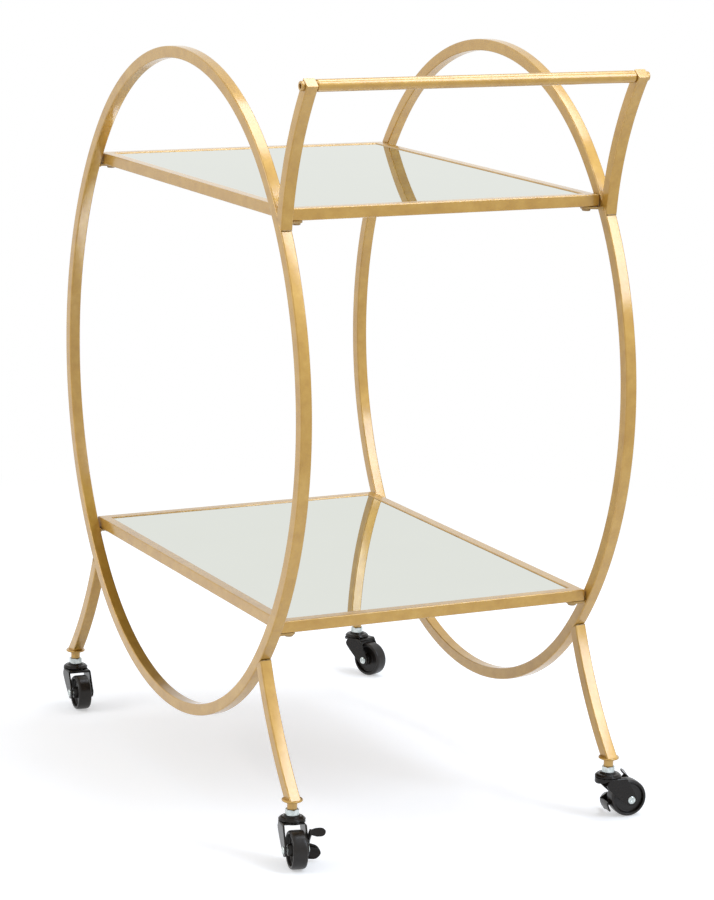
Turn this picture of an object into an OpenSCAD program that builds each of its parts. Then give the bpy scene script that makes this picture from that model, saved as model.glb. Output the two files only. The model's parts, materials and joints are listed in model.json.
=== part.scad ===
// Bar cart: two oval hoops of square tube carry two mirror shelves, a push bar on
// swept arms and four swept legs on swivel casters.
// +Z is up and the origin is on the floor under the middle of the whole cart, casters
// included. +X points to the push bar, the hoops lie in planes along X, and left is -Y.

/* [Hoops] */
// Outside length of a hoop, along the cart
hoop_w = 636; // [600:2:680]
// Outside height of a hoop
hoop_h = 722; // [690:2:760]
// Clear height from the floor to the bottom of the hoops
hoop_lift = 81.3; // [72:0.1:100]
// Width of the cart over the outer faces of the hoops
cart_w = 386; // [340:2:440]
// Side of the square tube used for hoops, arms, legs and shelf frames
tube = 12.7; // [12:0.1:14]
// Wall of the square tube
tube_wall = 1.2; // [0.9:0.1:1.6]

/* [Push bar] */
// How far the bar's middle stands inside the ends of the hoops
bar_inset = 9.2; // [4:0.2:14]
// How far the bar's middle lies below the top of the hoops
bar_drop = 12.4; // [0:0.2:30]
// Diameter of the round bar
bar_d = 12.7; // [11:0.1:14]
// Wall of the round bar
bar_wall = 1.2; // [0.9:0.1:1.6]
// Length of the threaded plug inside each end of the bar
bar_plug_l = 18; // [12:1:30]
// Bend radius of the arms, at the middle of the tube
arm_r = 306; // [285:1:330]
// Lean of the arms from upright, at the bar
arm_lean = 34; // [32:0.5:37]
// Thread diameter of the bar screws
bar_screw_d = 6; // [5:0.5:7]
// Head diameter of the bar screws
bar_head_d = 10; // [9:0.5:12]
// Head height of the bar screws
bar_head_h = 5; // [4:0.5:7]
// Depth of the hexagon socket in the bar screws
bar_socket = 3; // [2:0.5:3.5]
// Chamfer along the top edges of the arm blocks
block_chamfer = 1; // [0.5:0.1:2]

/* [Legs] */
// Distance of a caster's swivel axis inside the ends of the hoops
foot_inset = 17.8; // [12:0.2:28]
// Bend radius of the legs, at the middle of the tube
leg_r = 444; // [420:1:470]
// Lean of the legs from upright, at the foot
leg_lean = 40; // [37:0.5:43]
// Diameter of the round plate under a leg
foot_d = 22; // [19:0.5:26]
// Thickness of the round plate under a leg
foot_t = 2; // [1.5:0.1:3]
// Outside diameter of the threaded sleeve under the plate
sleeve_d = 10.6; // [9.6:0.1:12]
// Length of the threaded sleeve
sleeve_h = 8.4; // [6:0.2:12]

/* [Shelves] */
// Height of the upper shelf's top face above the floor
upper_z = 663.3; // [640:0.1:690]
// Height of the lower shelf's top face above the floor
lower_z = 238.9; // [225:0.1:270]
// How far the shelves' ends stand inside the ends of the hoops
shelf_inset = 67; // [63:0.5:73]
// Gap between a shelf's side and the hoop next to it
shelf_gap = 1.7; // [1:0.1:3]
// Thickness of the mirror glass
mirror_t = 4; // [3:0.5:5]
// Depth of the mirror's face below the frame's top
mirror_sink = 1; // [0.4:0.1:2]
// Gap round the edge of the mirror
mirror_gap = 0.4; // [0.3:0.1:1]
// Thickness of the backing board under the mirror
backing_t = 3; // [2:0.5:4]
// Width of the ledge strip that carries the board
ledge_w = 9; // [6:0.5:14]
// Thickness of the ledge strip
ledge_t = 1.5; // [1:0.1:2]

/* [Shelf tabs] */
// Width of a tab
tab_w = 13; // [11:0.5:16]
// Thickness of a tab
tab_t = 2.5; // [2:0.1:4]
// Distance from the hoop's inner face to a tab's screw
tab_reach = 13; // [11:0.5:16]
// Distance of a tab's root from the hoop's outer edge
tab_root_edge = 1; // [0.5:0.1:2]
// Thread diameter of the tab screws
tab_screw_d = 5; // [4:0.5:6]
// Head diameter of the tab screws
tab_head_d = 9.4; // [8.4:0.2:11]
// Head height of the tab screws
tab_head_h = 2.4; // [2:0.1:3]
// Length of the tab screws under their heads
tab_screw_l = 8; // [6:0.5:9]

/* [Caster stems] */
// Thread diameter of a stem
stem_d = 8; // [7:0.1:8.6]
// Width of the stem nut across its flats
nut_af = 13; // [12:0.5:15]
// Height of the stem nut
nut_h = 6.4; // [5:0.2:8]
// Diameter of the race cap
cap_d = 28.4; // [27:0.2:34]
// Sheet thickness of the race cap
cap_t = 1.6; // [1.2:0.1:2]
// Rise of the cap's middle, under the nut
cap_dome = 1.7; // [0.6:0.1:2.2]
// Width of the cap's flat round the nut
cap_land = 1.4; // [1:0.1:2.5]
// Bevel round the cap's edge
cap_bevel = 2.2; // [0.8:0.1:2.4]
// Gap between the cap's rim and the fork
cap_rim_gap = 0.5; // [0.3:0.1:1]
// Diameter of the riveted head that holds the fork up
peen_d = 13; // [11:0.5:14]
// Height of that riveted head
peen_h = 1.8; // [1.4:0.1:2.2]

/* [Caster swivels] */
// Diameter of a bearing ball
ball_d = 3.2; // [3:0.1:4]
// Radius of the ring of balls
ball_ring_r = 9.6; // [9.2:0.1:10]
// Number of balls in a ring
ball_count = 12; // [6:1:14]
// Running clearance of the swivel parts
swivel_fit = 0.1; // [0.05:0.01:0.2]
// Diameter of the fork's crown
crown_d = 28; // [26:0.5:32]
// Sheet thickness of the fork
fork_t = 2; // [1.6:0.1:2.4]
// Gap between the top of the wheel and the underside of the crown
crown_gap = 2.6; // [1.6:0.1:4]
// How far the fork's sides reach in front of the swivel axis
crown_nose = 12; // [10:0.5:13.5]
// How far the fork's sides reach behind the swivel axis
crown_tail = 17.5; // [16:0.5:23]
// How far the crown's plate reaches behind the swivel axis
plate_tail = 12.5; // [9:0.5:13.5]
// Slope of the crown's rear ends, from their top to their underside
tail_slope = 1; // [0.4:0.1:1.6]
// Radius of the fork round the axle
fork_eye_r = 6.8; // [5.6:0.1:9]

/* [Caster wheels] */
// Wheel diameter
wheel_d = 40; // [38:1:44]
// Tread width
wheel_w = 15.6; // [13:0.2:19]
// Distance of the axle behind the swivel axis
trail = 22.5; // [21:0.5:26]
// Axle diameter
axle_d = 6; // [5:0.1:6.6]
// Running clearance of the wheel on its axle
axle_fit = 0.06; // [0.03:0.01:0.1]
// Gap between the side of the wheel and the fork
wheel_gap = 2; // [1:0.1:2.5]
// Diameter of the axle's riveted heads
axle_head_d = 8.4; // [7.4:0.2:9]
// Height of the axle's riveted heads
axle_head_h = 1.4; // [1:0.1:2]
// Radius of the round dimple in each of those heads
axle_dimple_r = 1.7; // [1.2:0.1:2]
// Depth of that dimple
axle_dimple = 1; // [0.6:0.1:1.2]
// Depth of the hollow in each side of the wheel
dish_depth = 4.2; // [3:0.1:5]
// Slope of the hollow's walls, from its floor to its rim
dish_draft = 1; // [0.5:0.1:1.5]
// Thickness of the tread ring round that hollow
tread_t = 3.4; // [2.6:0.1:5]
// Chamfer on the edges of the tread
tread_chamfer = 1.4; // [0.8:0.1:2]
// Diameter of the wheel's hub
hub_d = 11.6; // [10:0.2:14]

/* [Brakes] */
// Sheet thickness of the brake lever
lever_t = 1.8; // [1.4:0.1:2.2]
// Lean of the lever from level
lever_lean = 49; // [44:1:54]
// Distance of the pivot in front of the axle
pivot_front = 6; // [5:0.5:7]
// Height of the pivot above the axle
pivot_up = 7; // [6:0.5:8]
// Diameter of the pivot pin
pivot_d = 4; // [3:0.1:4.6]
// Running clearance of the lever on its pin
pivot_fit = 0.05; // [0.03:0.01:0.1]
// Diameter of the round eye of the lever on its pin
lever_eye_d = 9; // [7.6:0.2:9]
// Width of the lever beside its eye
web_w = 6.6; // [5:0.2:6.6]
// Length of the lever from its pivot to the upper pedal
lever_up = 14; // [12:0.5:16]
// Length of the lever from its pivot to the lower pedal
lever_down = 17; // [15:0.5:18]
// Width of the upper pedal
upper_pedal_w = 10; // [8:0.5:12]
// Width of the lower pedal
lower_pedal_w = 14; // [11:0.5:16]
// Reach of the pedals away from the fork
pedal_reach = 16; // [12:0.5:19]
// Turn of the lever from off to on
brake_swing = 22; // [20:1:24]
// Direction from the axle at which the shoe meets the tread
shoe_dir = 221; // [218:1:226]
// Length of the curved shoe, as an angle round the axle
shoe_arc = 28; // [20:1:32]
// How far the shoe reaches past the middle of the tread
shoe_reach = 6; // [3:0.5:8]
// Gap left between shoe and tread when the brake is on
shoe_gap = 0.3; // [0.2:0.05:0.5]

/* [Caster angles] */
// Angle of the left caster at the push bar end
bar_left_turn = -12; // [-180:1:180]
// Angle of the right caster at the push bar end
bar_right_turn = 83; // [-180:1:180]
// Angle of the left caster at the far end
far_left_turn = -5; // [-180:1:180]
// Angle of the right caster at the far end
far_right_turn = 22; // [-180:1:180]

/* [Hidden] */
$fn = 64;
BIG = 2000;      // larger than anything here, for half-space cuts
CUT = 1;         // how far a cut goes past the face that it opens
ARC_FN = 360;    // segments of a full turn on the large bends

GOLD = [0.78, 0.62, 0.36];
MIRROR = [0.86, 0.89, 0.88];
BOARD = [0.45, 0.38, 0.30];
ZINC = [0.76, 0.79, 0.80];
BLACK = [0.13, 0.12, 0.11];

// A hoop is an oval of four tangent arcs: two ends and two longer sides
half_w = hoop_w / 2;
half_h = hoop_h / 2;
half_diag = sqrt(half_w * half_w + half_h * half_h);
end_r = half_diag * (half_diag - (half_h - half_w)) / (2 * half_h);
side_r = half_diag * (half_diag + (half_h - half_w)) / (2 * half_w);
join_a = atan2(half_h - end_r, side_r - half_w);
hoop_z = hoop_lift + half_h;
hoop_y = (cart_w - tube) / 2;

// Middle of the hoop's tube, at a height on the side arcs
function hoop_mid_x(z) =
  half_w - side_r + sqrt(pow(side_r - tube / 2, 2) - pow(z - hoop_z, 2));

bar_x = half_w - bar_inset;
bar_z = hoop_lift + hoop_h - bar_drop;
bar_l = cart_w - 2 * tube;
arm_cx = bar_x + arm_r * cos(arm_lean);
arm_cz = bar_z - tube / 2 - arm_r * sin(arm_lean);

// Caster stack, from the floor up
wheel_r = wheel_d / 2;
axle_z = wheel_r;
fork_in = wheel_w / 2 + wheel_gap;
fork_out = fork_in + fork_t;
crown_z = wheel_d + crown_gap;
crown_top = crown_z + fork_t;
groove = 0.6;                          // depth of a ball track in its sheet
ball_z = crown_top + ball_d / 2 - groove;
track_z = ball_z + ball_d / 2 - groove; // underside of the cap over the balls
cap_z = track_z + cap_t + cap_dome;
nut_z = cap_z;
sleeve_z = nut_z + nut_h;
foot_z = sleeve_z + sleeve_h;
leg_z = foot_z + foot_t;
collar_r = nut_af / 2;
foot_x = half_w - foot_inset;
leg_cx = foot_x + leg_r * cos(leg_lean);
leg_cz = leg_z + leg_r * sin(leg_lean);
stem_fit = 0.05;                       // clearance of screws and stems in their holes

// Shelves
shelf_l = hoop_w - 2 * shelf_inset;
shelf_w = cart_w - 2 * tube - 2 * shelf_gap;
mirror_l = shelf_l - 2 * tube - 2 * mirror_gap;
mirror_w = shelf_w - 2 * tube - 2 * mirror_gap;
tab_screw_x = (shelf_l - tube) / 2;
tab_screw_y = cart_w / 2 - tube - tab_reach;
weld = 0.6;                            // how far a welded strip enters the tube wall

// Brake: the lever stands off the fork's outer side by side_gap
side_gap = 0.3;
lever_y = fork_out + side_gap;
pivot = [trail - pivot_front, axle_z + pivot_up];
pin_head_h = 1;
pin_head_d = pivot_d + 2.4;

// The nodes are drawn about the middle of the hoops. The wheels reach further at the bar
// end and on the right, so the middle of the whole cart lies this far from it.
middle = [
  (foot_x + trail + wheel_r - half_w) / 2,
  (hoop_y + trail + wheel_r - cart_w / 2 - fork_out) / 2,
  0
];

// Foot of a caster's swivel axis: sx is the side along x, sy the side along y
function foot_at(sx, sy) = [sx * foot_x, sy * hoop_y, 0];

// Point of the circle at c with radius r that the line from p touches
function touch(p, c, r, side) =
  let (d = norm(p - c), base = atan2(p[1] - c[1], p[0] - c[0]), a = base + side * acos(r / d))
  c + r * [cos(a), sin(a)];

// Moves a node so that the whole cart stands over the origin
module cart() translate(-middle) children();

// ---- hoops ----

// Filled oval, drawn in by g
module oval(g) {
  intersection() {
    translate([half_w - side_r, 0]) circle(side_r - g, $fn = ARC_FN);
    translate([side_r - half_w, 0]) circle(side_r - g, $fn = ARC_FN);
    square([BIG, 2 * (half_h - end_r + (end_r - g) * sin(join_a))], center = true);
  }
  for (m = [-1, 1]) translate([0, m * (half_h - end_r)]) circle(end_r - g, $fn = ARC_FN);
}

// Turns a drawing of x and height upright and centres its thickness on y
module upright(y, thick) translate([0, y + thick / 2, 0]) rotate([90, 0, 0])
  linear_extrude(thick) children();

module hoop(sy) color(GOLD) translate([0, 0, hoop_z]) difference() {
  upright(sy * hoop_y, tube) difference() {
    oval(0);
    oval(tube);
  }
  upright(sy * hoop_y, tube - 2 * tube_wall) difference() {
    oval(tube_wall);
    oval(tube - tube_wall);
  }
}

// ---- arms and push bar ----

// Ring of a bent tube about [cx, cz], thinned by g on both faces
module bend(cx, cz, r, g) translate([cx, cz]) difference() {
  circle(r + tube / 2 - g, $fn = ARC_FN);
  circle(r - tube / 2 + g, $fn = ARC_FN);
}

// The stretch of a bend from its level end to where it meets the hoop
module swept(cx, cz, r, g, z_lo, z_hi) difference() {
  intersection() {
    bend(cx, cz, r, g);
    translate([0, z_lo]) square([cx, z_hi - z_lo]);
  }
  translate([0, hoop_z]) oval(0);
}

module arm(sy) color(GOLD) difference() {
  upright(sy * hoop_y, tube) swept(arm_cx, arm_cz, arm_r, 0, arm_cz, bar_z - tube / 2);
  upright(sy * hoop_y, tube - 2 * tube_wall)
    bend(arm_cx, arm_cz, arm_r, tube_wall);
}

// Level block that closes the top of an arm and takes the bar's screw
module arm_block(sy) color(GOLD) translate([bar_x, sy * hoop_y, bar_z]) difference() {
  translate([0, tube / 2, 0]) rotate([90, 0, 0]) linear_extrude(tube) polygon([
    [-tube / 2, -tube / 2], [tube / 2, -tube / 2], [tube / 2, tube / 2 - block_chamfer],
    [tube / 2 - block_chamfer, tube / 2], [block_chamfer - tube / 2, tube / 2],
    [-tube / 2, tube / 2 - block_chamfer]
  ]);
  rotate([90, 0, 0]) cylinder(d = bar_screw_d + 2 * stem_fit, h = BIG, center = true);
}

module push_bar() cart() color(GOLD) translate([bar_x, 0, bar_z]) rotate([90, 0, 0]) difference() {
  cylinder(d = bar_d, h = bar_l, center = true);
  cylinder(d = bar_d - 2 * bar_wall, h = bar_l - 2 * bar_plug_l, center = true);
  cylinder(d = bar_screw_d + 2 * stem_fit, h = BIG, center = true);
}

// Socket head screw through each block into the bar's plug
module push_bar_screws() cart() color(GOLD) for (sy = [-1, 1])
  translate([bar_x, sy * cart_w / 2, bar_z]) rotate([-90 * sy, 0, 0]) difference() {
    union() {
      cylinder(d = bar_head_d, h = bar_head_h);
      translate([0, 0, -tube - bar_plug_l]) cylinder(d = bar_screw_d, h = tube + bar_plug_l);
    }
    translate([0, 0, bar_head_h - bar_socket]) cylinder(d = bar_screw_d, h = BIG, $fn = 6);
  }

// ---- legs and feet ----

module leg(sx, sy) color(GOLD) mirror([sx < 0 ? 1 : 0, 0, 0]) difference() {
  upright(sy * hoop_y, tube) swept(leg_cx, leg_cz, leg_r, 0, leg_z, leg_cz);
  upright(sy * hoop_y, tube - 2 * tube_wall)
    bend(leg_cx, leg_cz, leg_r, tube_wall);
}

// Round plate welded under a leg, with the sleeve that the stem screws into
module foot(sx, sy) color(GOLD) translate(foot_at(sx, sy)) difference() {
  union() {
    translate([0, 0, foot_z]) cylinder(d = foot_d, h = foot_t);
    translate([0, 0, sleeve_z]) cylinder(d = sleeve_d, h = sleeve_h);
  }
  cylinder(d = stem_d + 2 * stem_fit, h = BIG);
}

// ---- shelves ----

// Rail of length l along x, mitred at both ends, its outer face on y = 0 and its top on
// z = 0, with the ledge strip welded inside its lower edge
module rail(l, holes = []) color(GOLD) {
  ledge_z = -mirror_sink - mirror_t - backing_t - ledge_t;
  difference() {
    translate([0, tube / 2, -tube / 2]) difference() {
      cube([l, tube, tube], center = true);
      cube([BIG, tube - 2 * tube_wall, tube - 2 * tube_wall], center = true);
    }
    for (m = [0, 1]) mirror([m, 0, 0]) translate([l / 2, 0, -tube - CUT])
      linear_extrude(tube + 2 * CUT)
        polygon([[0, 0], [CUT, 0], [CUT, tube + CUT], [-tube - CUT, tube + CUT]]);
    for (x = holes) translate([x, tube / 2, -tube - CUT])
      cylinder(d = tab_screw_d + 2 * stem_fit, h = tube / 2);
  }
  translate([tube - l / 2 + ledge_w, tube - weld, ledge_z])
    cube([l - 2 * tube - 2 * ledge_w, ledge_w + weld, ledge_t]);
}

module end_rail(z, sx) translate([sx * shelf_l / 2, 0, z]) rotate([0, 0, 90 * sx])
  rail(shelf_w, [-tab_screw_y, tab_screw_y]);
module side_rail(z, sy) translate([0, sy * shelf_w / 2, z]) rotate([0, 0, 90 + 90 * sy]) rail(shelf_l);

module backing(z) color(BOARD) translate([0, 0, z - mirror_sink - mirror_t - backing_t / 2])
  cube([mirror_l, mirror_w, backing_t], center = true);

module mirror_plate(z) color(MIRROR) translate([0, 0, z - mirror_sink - mirror_t / 2])
  cube([mirror_l, mirror_w, mirror_t], center = true);

// Flat tab under a shelf corner: its root is on the hoop, its round end takes a screw
module tab(sx, sy, z) color(GOLD) mirror([sx < 0 ? 1 : 0, 0, 0]) mirror([0, sy < 0 ? 1 : 0, 0])
  translate([0, 0, z - tube - tab_t]) linear_extrude(tab_t) {
    root_x = hoop_mid_x(z - tube - tab_t / 2) + tube / 2 - tab_root_edge;
    root_y = cart_w / 2 - tube;
    difference() {
      union() {
        translate([tab_screw_x, tab_screw_y]) circle(d = tab_w);
        polygon([
          [tab_screw_x - tab_w / 2, tab_screw_y], [tab_screw_x + tab_w / 2, tab_screw_y],
          [root_x, root_y], [root_x - tab_w, root_y]
        ]);
      }
      translate([tab_screw_x, tab_screw_y]) circle(d = tab_screw_d + 2 * stem_fit);
    }
  }

module tabs(sy) for (z = [upper_z, lower_z], sx = [-1, 1]) tab(sx, sy, z);

// Screws up through the tabs into the end rails
module tab_screws() cart() color(GOLD) for (z = [upper_z, lower_z], sx = [-1, 1], sy = [-1, 1])
  translate([sx * tab_screw_x, sy * tab_screw_y, z - tube - tab_t]) {
    translate([0, 0, -tab_head_h]) cylinder(d = tab_head_d, h = tab_head_h);
    translate([0, 0, -tab_head_h]) cylinder(d = tab_screw_d, h = tab_head_h + tab_screw_l);
  }

// ---- casters, each drawn with its swivel axis on z and its wheel towards +x ----

module place(sx, sy, turn) translate(foot_at(sx, sy)) rotate([0, 0, turn]) children();

// Threaded stem with the collar that carries the cap and the peened head under the fork
module stem() color(ZINC) {
  peen_z = crown_z - swivel_fit;
  collar_z = crown_top + swivel_fit;
  translate([0, 0, peen_z - peen_h]) cylinder(d = peen_d, h = peen_h);
  translate([0, 0, peen_z - peen_h]) cylinder(d = stem_d, h = foot_z - peen_z + peen_h);
  translate([0, 0, collar_z]) cylinder(r = collar_r, h = cap_z - cap_t - collar_z);
  translate([0, 0, nut_z]) cylinder(d = nut_af / cos(30), h = nut_h, $fn = 6);
}

// Pressed cap: raised middle, flat over the balls, rim turned down
module race_cap() color(BLACK) difference() {
  in_r = stem_d / 2 + stem_fit;
  land_r = collar_r + cap_land;
  rim_r = cap_d / 2;
  rotate_extrude() polygon([
    [in_r, cap_z], [land_r, cap_z], [land_r + cap_dome, cap_z - cap_dome],
    [rim_r - cap_bevel, cap_z - cap_dome], [rim_r, cap_z - cap_dome - cap_bevel],
    [rim_r, crown_top + cap_rim_gap], [rim_r - cap_t, crown_top + cap_rim_gap],
    [rim_r - cap_t, track_z], [collar_r + cap_dome, track_z],
    [collar_r, track_z + cap_dome], [in_r, track_z + cap_dome]
  ]);
  ball_track();
}

module ball_track() translate([0, 0, ball_z]) rotate_extrude()
  translate([ball_ring_r, 0]) circle(d = ball_d + 2 * swivel_fit);

module balls() color(ZINC) for (i = [0 : ball_count - 1])
  rotate([0, 0, 360 * i / ball_count]) translate([ball_ring_r, 0, ball_z]) sphere(d = ball_d, $fn = 24);

// Side view of a fork leg: from the crown's edge down to the eye round the axle
module fork_side() {
  eye = [trail, axle_z];
  front = [-crown_nose, crown_z];
  rear = [crown_tail, crown_z];
  polygon([
    [front[0], crown_top], [rear[0] - tail_slope, crown_top], rear,
    touch(rear, eye, fork_eye_r, -1), eye, touch(front, eye, fork_eye_r, 1), front
  ]);
  translate(eye) circle(fork_eye_r);
}

// Pressed fork: crown plate with a tail, ball track and two side legs
module fork(pin) color(BLACK) difference() {
  union() {
    translate([0, 0, crown_z]) cylinder(d = crown_d, h = fork_t);
    upright(0, 2 * fork_out) polygon([
      [0, crown_z], [plate_tail, crown_z], [plate_tail - tail_slope, crown_top], [0, crown_top]
    ]);
    for (m = [-1, 1]) upright(m * (fork_in + fork_t / 2), fork_t) fork_side();
  }
  translate([0, 0, crown_z - CUT]) cylinder(d = stem_d + 2 * swivel_fit, h = fork_t + 2 * CUT);
  ball_track();
  translate([trail, 0, axle_z]) rotate([90, 0, 0]) cylinder(d = axle_d, h = BIG, center = true);
  if (pin) translate([pivot[0], 0, pivot[1]]) rotate([-90, 0, 0]) cylinder(d = pivot_d, h = BIG);
}

// Riveted axle with a dimple in each head
module axle() color(ZINC) translate([trail, 0, axle_z]) rotate([90, 0, 0]) difference() {
  head_out = fork_out + axle_head_h;
  union() {
    cylinder(d = axle_d, h = 2 * head_out, center = true);
    for (m = [0, 1]) mirror([0, 0, m]) translate([0, 0, fork_out])
      cylinder(d = axle_head_d, h = axle_head_h);
  }
  for (m = [-1, 1]) translate([0, 0, m * (head_out + axle_dimple_r - axle_dimple)])
    sphere(r = axle_dimple_r, $fn = 24);
}

// Wheel with a dished side round a long hub
module wheel() color(BLACK) translate([trail, 0, axle_z]) rotate([90, 0, 0]) rotate_extrude($fn = 96) {
  hub_l = fork_in - side_gap;
  hub_r = hub_d / 2;
  rim_r = wheel_r - tread_t;
  half = wheel_w / 2;
  web = half - dish_depth;
  bore = axle_d / 2 + axle_fit;
  polygon([
    [bore, -hub_l], [hub_r, -hub_l], [hub_r + dish_draft, -web], [rim_r - dish_draft, -web], [rim_r, -half],
    [wheel_r - tread_chamfer, -half], [wheel_r, tread_chamfer - half],
    [wheel_r, half - tread_chamfer], [wheel_r - tread_chamfer, half],
    [rim_r, half], [rim_r - dish_draft, web], [hub_r + dish_draft, web], [hub_r, hub_l], [bore, hub_l]
  ]);
}

// ---- brakes ----

// Strip along x from 0 to l with a round end
module strip(l, w) {
  translate([0, -w / 2]) square([l - w / 2, w]);
  translate([l - w / 2, 0]) circle(d = w);
}

// Side view of the curved shoe with the brake off, drawn about the pivot
module shoe_side() {
  mid_r = wheel_r + shoe_gap + lever_t / 2;
  rotate(-brake_swing) translate([trail, axle_z] - pivot) intersection() {
    difference() {
      circle(mid_r + lever_t / 2, $fn = 96);
      circle(mid_r - lever_t / 2, $fn = 96);
    }
    polygon([
      [0, 0], 2 * mid_r * [cos(shoe_dir - shoe_arc / 2), sin(shoe_dir - shoe_arc / 2)],
      2 * mid_r * [cos(shoe_dir + shoe_arc / 2), sin(shoe_dir + shoe_arc / 2)]
    ]);
  }
}

// Point of the shoe's middle line with the brake off, about the pivot
function shoe_at(a) =
  let (p = [trail, axle_z] - pivot + (wheel_r + shoe_gap + lever_t / 2) * [cos(a), sin(a)])
  [p[0] * cos(brake_swing) + p[1] * sin(brake_swing), p[1] * cos(brake_swing) - p[0] * sin(brake_swing)];

// Point of the lever at distance l from its pivot and g across it
function lever_at(l, g) =
  [l * cos(lever_lean) - g * sin(lever_lean), l * sin(lever_lean) + g * cos(lever_lean)];

// Pedal bent out from the lever at distance l from its pivot
module pedal(l, w) rotate([0, -lever_lean, 0]) translate([l, 0, 0]) rotate([90, 0, 90])
  linear_extrude(lever_t) strip(pedal_reach, w);

// Lever on the fork's outer side: an eye on the pivot pin, a pedal bent out at each end and
// a curved shoe bent in front of the tread
module brake() color(BLACK) translate([pivot[0], lever_y, pivot[1]]) difference() {
  union() {
    upright(lever_t / 2, lever_t) {
      polygon([
        lever_at(-lever_down, -web_w / 2), lever_at(lever_up, -web_w / 2),
        lever_at(lever_up, web_w / 2), lever_at(-lever_down, web_w / 2)
      ]);
      polygon([
        lever_at(-lever_down, -web_w / 2), lever_at(-lever_down / 2, -web_w / 2),
        lever_at(-lever_down / 2, web_w / 2), shoe_at(shoe_dir - shoe_arc / 2),
        shoe_at(shoe_dir + shoe_arc / 2)
      ]);
      circle(d = lever_eye_d);
    }
    upright(lever_t - (lever_y + lever_t + shoe_reach) / 2, lever_y + lever_t + shoe_reach) shoe_side();
    pedal(lever_up - lever_t, upper_pedal_w);
    pedal(-lever_down, lower_pedal_w);
  }
  rotate([90, 0, 0]) cylinder(d = pivot_d + 2 * pivot_fit, h = 2 * (lever_t + CUT), center = true);
}

// Pin riveted into the fork; the lever turns on it
module brake_pin() color(ZINC) translate([pivot[0], fork_in, pivot[1]]) rotate([-90, 0, 0]) {
  head_at = fork_t + 2 * side_gap + lever_t;
  cylinder(d = pivot_d, h = head_at);
  translate([0, 0, head_at]) cylinder(d = pin_head_d, h = pin_head_h);
}

// ---- nodes ----

module left_hoop() cart() hoop(-1);
module right_hoop() cart() hoop(1);
module left_arm() cart() arm(-1);
module right_arm() cart() arm(1);
module left_arm_block() cart() arm_block(-1);
module right_arm_block() cart() arm_block(1);
module bar_left_leg() cart() leg(1, -1);
module bar_right_leg() cart() leg(1, 1);
module far_left_leg() cart() leg(-1, -1);
module far_right_leg() cart() leg(-1, 1);
module bar_left_foot() cart() foot(1, -1);
module bar_right_foot() cart() foot(1, 1);
module far_left_foot() cart() foot(-1, -1);
module far_right_foot() cart() foot(-1, 1);
module upper_front_rail() cart() end_rail(upper_z, 1);
module upper_back_rail() cart() end_rail(upper_z, -1);
module upper_left_rail() cart() side_rail(upper_z, -1);
module upper_right_rail() cart() side_rail(upper_z, 1);
module lower_front_rail() cart() end_rail(lower_z, 1);
module lower_back_rail() cart() end_rail(lower_z, -1);
module lower_left_rail() cart() side_rail(lower_z, -1);
module lower_right_rail() cart() side_rail(lower_z, 1);
module upper_backing() cart() backing(upper_z);
module lower_backing() cart() backing(lower_z);
module upper_mirror() cart() mirror_plate(upper_z);
module lower_mirror() cart() mirror_plate(lower_z);
module left_tabs() cart() tabs(-1);
module right_tabs() cart() tabs(1);
module bar_left_stem() cart() place(1, -1, bar_left_turn) stem();
module bar_right_stem() cart() place(1, 1, bar_right_turn) stem();
module far_left_stem() cart() place(-1, -1, far_left_turn) stem();
module far_right_stem() cart() place(-1, 1, far_right_turn) stem();
module bar_left_race_cap() cart() place(1, -1, bar_left_turn) race_cap();
module bar_right_race_cap() cart() place(1, 1, bar_right_turn) race_cap();
module far_left_race_cap() cart() place(-1, -1, far_left_turn) race_cap();
module far_right_race_cap() cart() place(-1, 1, far_right_turn) race_cap();
module bar_left_balls() cart() place(1, -1, bar_left_turn) balls();
module bar_right_balls() cart() place(1, 1, bar_right_turn) balls();
module far_left_balls() cart() place(-1, -1, far_left_turn) balls();
module far_right_balls() cart() place(-1, 1, far_right_turn) balls();
module bar_left_fork() cart() place(1, -1, bar_left_turn) fork(true);
module bar_right_fork() cart() place(1, 1, bar_right_turn) fork(true);
module far_left_fork() cart() place(-1, -1, far_left_turn) fork(false);
module far_right_fork() cart() place(-1, 1, far_right_turn) fork(false);
module bar_left_axle() cart() place(1, -1, bar_left_turn) axle();
module bar_right_axle() cart() place(1, 1, bar_right_turn) axle();
module far_left_axle() cart() place(-1, -1, far_left_turn) axle();
module far_right_axle() cart() place(-1, 1, far_right_turn) axle();
module bar_left_wheel() cart() place(1, -1, bar_left_turn) wheel();
module bar_right_wheel() cart() place(1, 1, bar_right_turn) wheel();
module far_left_wheel() cart() place(-1, -1, far_left_turn) wheel();
module far_right_wheel() cart() place(-1, 1, far_right_turn) wheel();
module bar_left_brake() cart() place(1, -1, bar_left_turn) brake();
module bar_right_brake() cart() place(1, 1, bar_right_turn) brake();
module bar_left_brake_pin() cart() place(1, -1, bar_left_turn) brake_pin();
module bar_right_brake_pin() cart() place(1, 1, bar_right_turn) brake_pin();

left_hoop();
right_hoop();
left_arm();
right_arm();
left_arm_block();
right_arm_block();
push_bar();
push_bar_screws();
bar_left_leg();
bar_right_leg();
far_left_leg();
far_right_leg();
bar_left_foot();
bar_right_foot();
far_left_foot();
far_right_foot();
upper_front_rail();
upper_back_rail();
upper_left_rail();
upper_right_rail();
lower_front_rail();
lower_back_rail();
lower_left_rail();
lower_right_rail();
upper_backing();
lower_backing();
upper_mirror();
lower_mirror();
left_tabs();
right_tabs();
tab_screws();
bar_left_stem();
bar_right_stem();
far_left_stem();
far_right_stem();
bar_left_race_cap();
bar_right_race_cap();
far_left_race_cap();
far_right_race_cap();
bar_left_balls();
bar_right_balls();
far_left_balls();
far_right_balls();
bar_left_fork();
bar_right_fork();
far_left_fork();
far_right_fork();
bar_left_axle();
bar_right_axle();
far_left_axle();
far_right_axle();
bar_left_wheel();
bar_right_wheel();
far_left_wheel();
far_right_wheel();
bar_left_brake();
bar_right_brake();
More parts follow.
